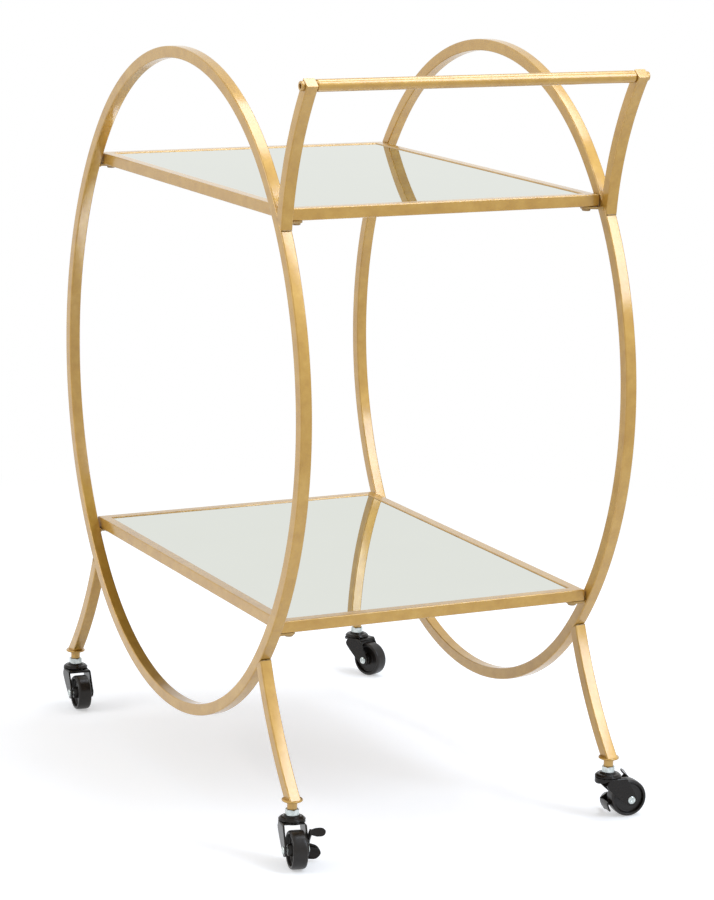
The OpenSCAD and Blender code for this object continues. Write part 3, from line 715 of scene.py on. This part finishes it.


# The tabs' gold is darkened as painted shade, for their place under the shelves
tab_painted_shade_gold = gold_finish("tab_painted_shade_gold", 0.72)
screws_lo, screws_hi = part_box("tab_screws")
screw_x = (screws_hi.x - screws_lo.x) / 2 - HEAD_R
screw_y = (screws_hi.y - screws_lo.y) / 2 - HEAD_R
mid_y = (left_y + right_y) / 2
root_y = (right_y - left_y) / 2 - tube / 2
for shelf in ("upper", "lower"):
    tab_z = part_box(shelf + "_front_rail")[0].z
    rise = abs(tab_z - TAB_T / 2 - hoop_z)
    root_x = half_w - side_r + sqrt((side_r - tube / 2) ** 2 - rise ** 2) + tube / 2 - TAB_INSET
    turns = [pi * k / 14 - pi for k in range(15)]
    outline = [(screw_x + TAB_R * cos(t), screw_y + TAB_R * sin(t)) for t in turns]
    outline += [(root_x, root_y), (root_x - 2 * TAB_R, root_y)]
    for end, sx in (("bar", 1), ("far", -1)):
        for side, sy in (("left", -1), ("right", 1)):
            tab = cut_sheet(
                f"{shelf}_{end}_{side}_tab", outline, tab_z - TAB_T, tab_z - TAB_GAP, TAB_EDGE, tab_painted_shade_gold,
                lambda x, y, z: (hoop_x + sx * x, mid_y + sy * y, z),
            )
            first = (shelf, end) == ("upper", "bar")
            on_frame(tab, "gold", *([side + "_tabs"] if first else []))
            for edge, level, r in (("low", tab_z - TAB_T, LOW_BEAD), ("top", tab_z, TOP_BEAD)):
                bead_y = mid_y + sy * (root_y - BEAD_OUT)
                path = [
                    (hoop_x + sx * (root_x - 2 * TAB_R * k / BEAD_STEPS), bead_y, level)
                    for k in range(BEAD_STEPS + 1)
                ]
                bead = weld_bead(f"{shelf}_{end}_{side}_weld_{edge}", path, r, gold)
                on_frame(bead, "gold")


# ---- tab screws ----
# Pan head steel screws in a darker gold, painted shade for their place under the shelves, with a
# hexagon socket. They are seated under the tabs and hold the shelf frames to them.
HEAD_H, HEAD_CROWN = 0.0024, 0.0011
TAB_KEY, TAB_SOCKET = 0.003, 0.0014

screw_painted_shade_gold = gold_finish("screw_painted_shade_gold", 0.62)
for shelf in ("upper", "lower"):
    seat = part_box(shelf + "_front_rail")[0].z - TAB_T
    for end, sx in (("bar", 1), ("far", -1)):
        for side, sy in (("left", -1), ("right", 1)):
            at = (hoop_x + sx * screw_x, mid_y + sy * screw_y, seat)
            screw = socket_head(
                f"{shelf}_{end}_{side}_tab_screw", at, (0, 0, -1), HEAD_R, HEAD_H, TAB_KEY, TAB_SOCKET,
                screw_painted_shade_gold, HEAD_CROWN,
            )
            first = (shelf, end, side) == ("upper", "bar", "left")
            on_frame(screw, "gold", *(["tab_screws"] if first else []))


# ---- caster stems ----
# Zinc plated screw stem with a chamfered hexagon nut on top of the cap and a riveted head
# under the fork. Every caster piece is drawn in millimetres about its swivel axis with the
# wheel towards +x, then set under its foot.
CORNERS = ("bar_left", "bar_right", "far_left", "far_right")
BRAKED = CORNERS[:2]
SHANK_R, STEM_FOOT, STEM_TOP = 3.95, 40.7, 64.7
# The nut is NUT_FLATS from its middle to a flat, and its chamfers slope at 30 degrees
NUT_FLATS, NUT_FOOT, NUT_TOP = 6.5, 49.9, 56.3
NUT_SLOPE = 0.577


# Paint, plating or plastic: its colour range, roughness range, grain and relief in metres
def plain_finish(name, dark, light, rough, metal, scale, relief, gloss=0.5):
    mat, nodes, links, bsdf = new_material(name)
    bsdf.inputs["Metallic"].default_value = metal
    bsdf.inputs["Specular IOR Level"].default_value = gloss
    grain = cloud(nodes, links, scale, 4)
    coloured(nodes, links, bsdf, grain, (0.3, dark), (0.7, light))
    roughened(nodes, links, bsdf, grain, *rough)
    embossed(nodes, links, bsdf, grain, 0.5, relief)
    return mat


zinc = plain_finish("zinc_plate", (0.36, 0.40, 0.39), (0.70, 0.74, 0.72), (0.16, 0.34), 1.0, 190, 0.00005)
joints = {joint["name"]: joint for joint in frame["joints"]}


# Turns a piece to its wheel's heading at rest and sets it under its foot, in metres
def under_foot(ob, corner, slot, body, *stands_for):
    axis = joints[corner + "_wheel_spin"]["axis"]
    swivel = joints[corner + "_swivel"]["pos_m"]
    turn = Matrix.Rotation(atan2(-axis[0], axis[1]), 4, "Z")
    ob.data.transform(Matrix.Translation((swivel[0], swivel[1], 0)) @ turn @ Matrix.Scale(0.001, 4))
    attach(ob, body)
    if stands_for:
        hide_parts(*stands_for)


# Rounds the corners of a profile with short curves that start r before each corner
def eased(points, r, steps=4):
    out = [points[0]]
    for a, b, c in zip(points, points[1:], points[2:]):
        a, b, c = Vector(a), Vector(b), Vector(c)
        reach = min(r, (a - b).length * 0.48, (c - b).length * 0.48)
        p, q = b + (a - b).normalized() * reach, b + (c - b).normalized() * reach
        for k in range(steps + 1):
            t = k / steps
            out.append(tuple((1 - t) ** 2 * p + 2 * t * (1 - t) * b + t * t * q))
    return out + [points[-1]]


def hexagon(t):
    return NUT_FLATS / cos(t % (pi / 3) - pi / 6)


# Chamfer of the nut's rim at a level: way is 1 on its top and -1 on its foot
def nut_rim(level, way):
    return lambda t: level - way * (hexagon(t) - NUT_FLATS + 0.2) * NUT_SLOPE


for corner in CORNERS:
    stem = turned(
        corner + "_stem_and_nut",
        [(0, STEM_FOOT), (4.9, STEM_FOOT), (6.1, 41.2), (6.5, 42.0), (6.5, 42.45), (SHANK_R, 42.45),
         (SHANK_R, 44.7), (6.25, 44.75), (6.25, NUT_FOOT - 0.05), (NUT_FLATS - 0.2, NUT_FOOT + 0.02),
         (hexagon, nut_rim(NUT_FOOT, -1)), (hexagon, nut_rim(NUT_TOP, 1)), (NUT_FLATS - 0.2, NUT_TOP),
         (SHANK_R, NUT_TOP), (SHANK_R, STEM_TOP - 0.3), (0, STEM_TOP)],
        zinc, steps=72,
    )
    under_foot(stem, corner, "zinc", "frame", corner + "_stem")


# ---- race caps ----
# Black painted cap pressed from sheet steel over the ball track, with a raised middle under
# the nut and a rolled rim. The stem clamps it.
CAP_TOP, CAP_RIM, CAP_R, CAP_BORE = 49.9, 45.1, 14.2, 6.3
caster_black = plain_finish(
    "caster_black", (0.008, 0.006, 0.0045), (0.014, 0.011, 0.0085), (0.12, 0.20), 0.0, 420, 0.00003, 0.25
)

cap_under = CAP_TOP - 3.3
cap_curve = eased(
    [(6.6, CAP_TOP), (7.9, CAP_TOP), (9.7, CAP_TOP - 1.7), (11.9, CAP_TOP - 1.75),
     (CAP_R - 0.1, CAP_TOP - 3.8), (CAP_R, CAP_RIM + 0.5), (CAP_R - 0.5, CAP_RIM),
     (CAP_R - 1.4, CAP_RIM), (CAP_R - 1.6, cap_under), (6.7, cap_under)],
    0.9, 5,
)
for corner in CORNERS:
    cap = turned(
        corner + "_cap",
        [(CAP_BORE, CAP_TOP - 0.1)] + cap_curve + [(CAP_BORE, cap_under + 0.1)],
        caster_black, steps=96, bore=True, sharp=60,
    )
    under_foot(cap, corner, "caster_black", "frame", corner + "_race_cap")


# ---- ball tracks ----
# A ring of twelve bright steel balls runs between each cap and its fork. They keep the shape
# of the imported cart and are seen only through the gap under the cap.
for corner in CORNERS:
    balls = frame["nodes"][corner + "_balls"]
    balls.data.materials.clear()
    balls.data.materials.append(zinc)


# ---- forks ----
# Pressed from 2 mm steel sheet and painted black: a round crown with the lower ball track, a
# plate that runs back from it, a drawn skirt round its nose, and two side legs that taper to
# the axle. All edges are slightly rounded by the tool and the paint.
CROWN, CROWN_TOP, CROWN_R, SHOULDER = 42.6, 44.6, 14.0, 2.3
# The legs' faces from the wheel's middle, and how far a leg without a lever stands out
FORK_IN, FORK_OUT, SPREAD = 9.8, 11.8, 1.8
SKIRT, SKIRT_STEPS = 6.4, 40
# The axle's place behind and below the swivel, and the radius of the eye round it
TRAIL, AXLE_Z, EYE_R = 22.5, 20.0, 6.8
# A leg's edges aim at the crown's NOSE and TAIL; its front starts at LEG_NOSE, bowed by BULGE
NOSE, LEG_NOSE, TAIL, BULGE = 12.0, 3.6, 17.5, 2.2
PLATE_NOSE, BRAKED_TAIL, PLAIN_TAIL, PLAIN_LIP = -9, 12.5, 17.8, 0.9


# Point of the axle eye that the straight edge from (x, z) touches
def touch(x, z, side):
    reach = hypot(x - TRAIL, z - AXLE_Z)
    a = atan2(z - AXLE_Z, x - TRAIL) + side * acos(EYE_R / reach)
    return TRAIL + EYE_R * cos(a), AXLE_Z + EYE_R * sin(a)


front_foot, rear_foot = touch(-NOSE, CROWN, 1), touch(TAIL, CROWN, -1)


# Front and rear edge of a leg at a level
def leg_edges(z):
    if z >= CROWN:
        return -LEG_NOSE, TAIL - (z - CROWN) / 2
    half = sqrt(max(0, EYE_R ** 2 - (z - AXLE_Z) ** 2))
    (fx, fz), (rx, rz) = front_foot, rear_foot
    x0 = -NOSE + (fx + NOSE) * (CROWN - z) / (CROWN - fz) if z > fz else TRAIL - half
    x1 = TAIL + (rx - TAIL) * (CROWN - z) / (CROWN - rz) if z > rz else TRAIL + half
    if z > fz:
        x0 = max(x0 - BULGE * sin(pi * (CROWN - z) / (CROWN - fz)), -LEG_NOSE - 0.55 * (CROWN - z))
    return x0, x1


def round_rect(x0, x1, y0, y1, r):
    r = min(r, (x1 - x0) / 2.1, (y1 - y0) / 2.1)
    centres = [(x1 - r, y1 - r), (x0 + r, y1 - r), (x0 + r, y0 + r), (x1 - r, y0 + r)]
    ring = []
    for quarter, (x, y) in enumerate(centres):
        for k in range(4):
            t = (quarter + k / 3) * pi / 2
            ring.append((x + r * cos(t), y + r * sin(t)))
    return ring


# Levels of a leg's rings: round its shoulder, down to both feet of its edges, round its eye
bend = CROWN_TOP - SHOULDER
low = asin((AXLE_Z - front_foot[1]) / EYE_R)
levels = [CROWN_TOP - SHOULDER * (1 - cos(k * pi / 12)) for k in range(7)]
levels += [bend - k * (bend - rear_foot[1]) / 8 for k in range(1, 9)]
levels += [rear_foot[1] - k * (rear_foot[1] - front_foot[1]) / 6 for k in range(1, 7)]
levels += [AXLE_Z - EYE_R * sin(low + (pi / 2 - low) * k / 8) for k in range(1, 8)]


# A leg from its inner face, on the side -1 or 1 of the wheel
def fork_leg(side, inner):
    rings = []
    for z in levels:
        over = max(0, z - CROWN_TOP + SHOULDER)
        outer = inner + FORK_OUT - FORK_IN - SHOULDER + sqrt(SHOULDER ** 2 - over ** 2)
        x0, x1 = leg_edges(z)
        cut = round_rect(x0, x1, inner, max(outer, inner + 0.3), 0.45)
        rings.append([(x, side * y, z) for x, y in cut])
    return rings


# The drawn skirt round the nose of the crown, deepest at the front
def drum_skirt():
    rings = []
    for k in range(SKIRT_STEPS + 1):
        a = radians(96 + 168 * k / SKIRT_STEPS)
        depth = SKIRT * (0.27 + 0.73 * sin(pi * k / SKIRT_STEPS) ** 1.1)
        top, foot = CROWN_TOP - 0.7, CROWN_TOP - depth
        wall = (
            (CROWN_R + 0.05, top), (CROWN_R + 0.1, foot + 0.5), (CROWN_R - 0.3, foot),
            (CROWN_R - 1.3, foot), (CROWN_R - 1.6, foot + 0.4), (CROWN_R - 1.6, top),
        )
        rings.append([(r * cos(a), r * sin(a), z) for r, z in wall])
    return rings


def join_pieces(name, *parts):
    bm = bmesh.new()
    for part in parts:
        bm.from_mesh(part.data)
    mat = parts[0].data.materials[0]
    for part in parts:
        bpy.data.objects.remove(part)
    return finished(name, bm, mat)


crown_curve = eased(
    [(4.2, CROWN), (CROWN_R, CROWN), (CROWN_R, CROWN_TOP), (11.3, CROWN_TOP),
     (10.6, CROWN_TOP - 0.5), (8.6, CROWN_TOP - 0.5), (7.9, CROWN_TOP), (4.2, CROWN_TOP)],
    0.9,
)
for corner in CORNERS:
    # The legs stand out as far as the crown, except beside a brake lever
    braked = corner in BRAKED
    inner = {-1: FORK_IN + SPREAD, 1: FORK_IN if braked else FORK_IN + SPREAD}
    tail, lip = (BRAKED_TAIL, 0) if braked else (PLAIN_TAIL, PLAIN_LIP)
    crown = turned("crown", crown_curve, caster_black, steps=96, bore=True, sharp=60)
    plate_ring = round_rect(PLATE_NOSE, tail, CROWN + 0.06 - lip, CROWN_TOP - 0.06, 0.6)
    plate_sides = -inner[-1] - 0.4, inner[1] + 0.4
    plate = skin("plate", [[(x, y, z) for x, z in plate_ring] for y in plate_sides], caster_black)
    skirt = skin("skirt", drum_skirt(), caster_black)
    legs = [skin("leg", fork_leg(side, inner[side]), caster_black) for side in (-1, 1)]
    fork = join_pieces(corner + "_fork_pressing", crown, plate, skirt, *legs)
    under_foot(fork, corner, "caster_black", corner + "_caster", corner + "_fork")


# ---- axles ----
# Zinc plated steel rivet through the legs and the hub. Each domed head is set down on its leg
# and has a round dimple.
RIVET_R, RIVET_HEAD_R = 3.0, 4.2


def rivet_head(seat):
    head = [
        (RIVET_R, seat - 0.2), (RIVET_HEAD_R, seat), (RIVET_HEAD_R, seat + 0.7), (3.2, seat + 1.4),
        (1.9, seat + 1.35), (1.2, seat + 0.6), (0.001, seat + 0.4),
    ]
    return eased(head, 0.5)[:-1]


for corner in CORNERS:
    plain_side = FORK_OUT + SPREAD
    brake_side = FORK_OUT if corner in BRAKED else plain_side
    axle = turned(
        corner + "_axle_rivet",
        [(0, -plain_side - 0.4)] + [(r, -h) for r, h in reversed(rivet_head(plain_side))]
        + rivet_head(brake_side) + [(0, brake_side + 0.4)],
        zinc, at=(TRAIL, 0, AXLE_Z), along=(0, 1, 0), sharp=50,
    )
    under_foot(axle, corner, "zinc", corner + "_caster", corner + "_axle")


# ---- wheels ----
# Black moulded plastic wheel: a slightly crowned tread with rounded shoulders, a dished web on
# each side and a long hub that runs on the rivet.
WHEEL_R, HALF_W, RIM_R = 20.0, 7.8, 16.6
HUB_R, HUB_HALF, HUB_BORE, WEB = 5.8, 9.5, 3.06, 3.6
wheel_black = plain_finish(
    "wheel_black", (0.009, 0.007, 0.0055), (0.016, 0.0125, 0.010), (0.24, 0.36), 0.0, 380, 0.00006, 0.36
)

half_wheel = eased(
    [(HUB_BORE, HUB_HALF), (HUB_R, HUB_HALF), (HUB_R + 1, WEB), (RIM_R - 1, WEB), (RIM_R, HALF_W - 0.5),
     (RIM_R + 0.6, HALF_W - 0.05), (RIM_R + 2.2, HALF_W), (WHEEL_R - 0.2, HALF_W - 1.5),
     (WHEEL_R - 0.02, HALF_W - 3.6), (WHEEL_R, 0.5)],
    0.7,
)
for corner in CORNERS:
    wheel = turned(
        corner + "_wheel_moulding",
        [(r, -h) for r, h in half_wheel] + half_wheel[::-1],
        wheel_black, at=(TRAIL, 0, AXLE_Z), along=(0, 1, 0), steps=128, bore=True, sharp=60,
    )
    under_foot(wheel, corner, "wheel_black", corner + "_wheel_body", corner + "_wheel")


# ---- brake pins ----
# Zinc plated steel pin riveted into the fork leg beside each brake lever, which turns on it
# between the leg and the pin's head.
PIN_X, PIN_Z, PIN_R, PIN_HEAD_R = 16.5, 27.0, 1.97, 3.2
# The lever's inner face from the wheel's middle, and its sheet's thickness
LEVER_Y, LEVER_T = 12.1, 1.8

pin_seat = FORK_IN + 2.0 + 0.6 + LEVER_T
for corner in BRAKED:
    pin = turned(
        corner + "_pin_rivet",
        [(0, FORK_IN), (PIN_R, FORK_IN), (PIN_R, pin_seat), (PIN_HEAD_R, pin_seat + 0.02),
         (PIN_HEAD_R, pin_seat + 0.35), (2.5, pin_seat + 0.85), (1.2, pin_seat + 1.0), (0, pin_seat + 1.0)],
        zinc, at=(PIN_X, 0, PIN_Z), along=(0, 1, 0), sharp=50,
    )
    under_foot(pin, corner, "zinc", corner + "_caster", corner + "_brake_pin")


# ---- brake levers ----
# Pressed from 1.8 mm steel sheet and painted black: a web with a round eye on the pin, a
# rounded pedal bent out at each end and a curved shoe that swings against the tread.

# The lever's lean with the brake off, and the swing that puts the brake on
LEAN, SWING = radians(49), radians(22)
# The web's reach to each side of the pin, its half width and the radius of its eye
UP, DOWN, WEB_HALF, EYE, WEB_STEPS = 17.0, 17.0, 3.3, 4.5, 62
UPPER_HALF, UPPER_REACH, UPPER_CURL = 5.0, 16.0, 2.6
LOWER_REACH, LOWER_TIP_R = 17.2, 6.0
PEDAL_STEPS = 24
# The shoe's inner end from the wheel's middle, and the radius of its middle when on
SHOE_IN, SHOE_R = -6, WHEEL_R + 0.3 + LEVER_T / 2
lever_out = LEVER_Y + LEVER_T


# Point of the lever: l along it, g across it, y out from the wheel's middle
def on_lever(l, g, y):
    return PIN_X + l * cos(LEAN) - g * sin(LEAN), y, PIN_Z + l * sin(LEAN) + g * cos(LEAN)


# Point of the shoe at an angle round the axle, with the brake off
def on_shoe(a, r):
    x, z = TRAIL - PIN_X + r * cos(a), AXLE_Z - PIN_Z + r * sin(a)
    return PIN_X + x * cos(SWING) + z * sin(SWING), PIN_Z + z * cos(SWING) - x * sin(SWING)


# Share of a pedal's full width at y, which rounds off its tip
def tip_share(y, reach, tip_r):
    return max(0.05, sqrt(max(0.0, 1 - (max(0, y - LEVER_Y - reach + tip_r) / tip_r) ** 2)))


# Steps out along a pedal, closer together at its tip: the share of the way and y
def pedal_steps(reach):
    shares = [sin(k / PEDAL_STEPS * pi / 2) for k in range(PEDAL_STEPS + 1)]
    return [(s, LEVER_Y + 0.3 + s * (reach - 0.3)) for s in shares]


# The upper pedal widens from a neck and curls up towards its tip
def upper_pedal():
    rings = []
    for s, y in pedal_steps(UPPER_REACH):
        neck = 0.62 + 0.38 * min(1, s / 0.5) ** 2 * (3 - 2 * min(1, s / 0.5))
        w = max(0.25, UPPER_HALF * neck * tip_share(y, UPPER_REACH, UPPER_HALF))
        l0, g0 = UP - LEVER_T + UPPER_CURL * s ** 2, -1.6 * s
        rings.append([on_lever(l0 + l, g0 + g, y) for l, g in round_rect(0, LEVER_T, -w, w, 0.85)])
    return rings


# The lower pedal is a flange bent out from a hollow curve at the lever's foot
PAD_X, PAD_Z, PAD_R = 11.6, 11.5, 10.4


def on_pad(a, r):
    return PAD_X + r * cos(a), PAD_Z + r * sin(a)


def lower_pedal():
    rings = []
    for s, y in pedal_steps(LOWER_REACH):
        top, low = radians(110 + 42 * s * s), radians(226 - 24 * s * s)
        mid, half = (top + low) / 2, (low - top) / 2 * tip_share(y, LOWER_REACH, LOWER_TIP_R)
        sweep = [mid + half * (m / 8 - 1) for m in range(17)]
        ring = [on_pad(a, PAD_R + LEVER_T / 2) for a in sweep] + [on_pad(sweep[-1] + 0.05, PAD_R)]
        ring += [on_pad(a, PAD_R - LEVER_T / 2) for a in sweep[::-1]] + [on_pad(sweep[0] - 0.05, PAD_R)]
        drift = (y - LEVER_Y) / LOWER_REACH
        rings.append([(x + 4.6 * drift, y, z - 3 * drift) for x, z in ring])
    return rings


def lever_web():
    rings = []
    for k in range(WEB_STEPS + 1):
        l = -DOWN + (UP + DOWN) * k / WEB_STEPS
        half = max(WEB_HALF, sqrt(max(0, EYE ** 2 - l ** 2)))
        rings.append([on_lever(l, g, y) for g, y in round_rect(-half, half, LEVER_Y, lever_out, 0.4)])
    return rings


shoe_arc = [radians(207 + 28 * k / 8) for k in range(9)]


# The shoe runs across the tread and ends flush with the lever, with its two ends rounded
def brake_shoe():
    rings = []
    for y, thin in ((SHOE_IN, 0.5), (SHOE_IN + 0.2, 0.2), (SHOE_IN + 0.6, 0),
                    (lever_out - 0.6, 0), (lever_out - 0.2, 0.2), (lever_out, 0.5)):
        ring = [on_shoe(a, SHOE_R + LEVER_T / 2 - thin) for a in shoe_arc]
        ring += [on_shoe(a, SHOE_R - LEVER_T / 2 + thin) for a in shoe_arc[::-1]]
        rings.append([(x, y, z) for x, z in ring])
    return rings


# Flat part of the lever beside the web, just under its faces
def gusset(name, outline, under):
    return cut_sheet(
        name, outline[::-1], LEVER_Y + under, lever_out - under, 0.4, caster_black, lambda x, z, y: (x, y, z)
    )


arm_outline = [on_lever(l, g, 0)[::2] for l, g in ((-DOWN + 0.3, -2.9), (-8.5, -2.9), (-8.5, 2.9))]
arm_outline += [on_shoe(shoe_arc[0], SHOE_R), on_shoe(shoe_arc[-1], SHOE_R)]
foot_outline = [on_pad(radians(112 + 9.5 * k), PAD_R + LEVER_T / 2 - 0.2) for k in range(13)]
foot_outline += [(9.2, 9.5), (10.6, 15.5)]
for corner in BRAKED:
    web = skin("web", lever_web(), caster_black)
    shoe = skin("shoe", brake_shoe(), caster_black)
    arm_plate = gusset("arm", arm_outline, 0.06)
    foot_plate = gusset("foot", foot_outline, 0.03)
    upper = skin("upper", upper_pedal(), caster_black)
    lower = skin("lower", lower_pedal(), caster_black)
    lever = join_pieces(corner + "_brake_pressing", web, shoe, arm_plate, foot_plate, upper, lower)
    under_foot(lever, corner, "caster_black", corner + "_brake_lever", corner + "_brake")
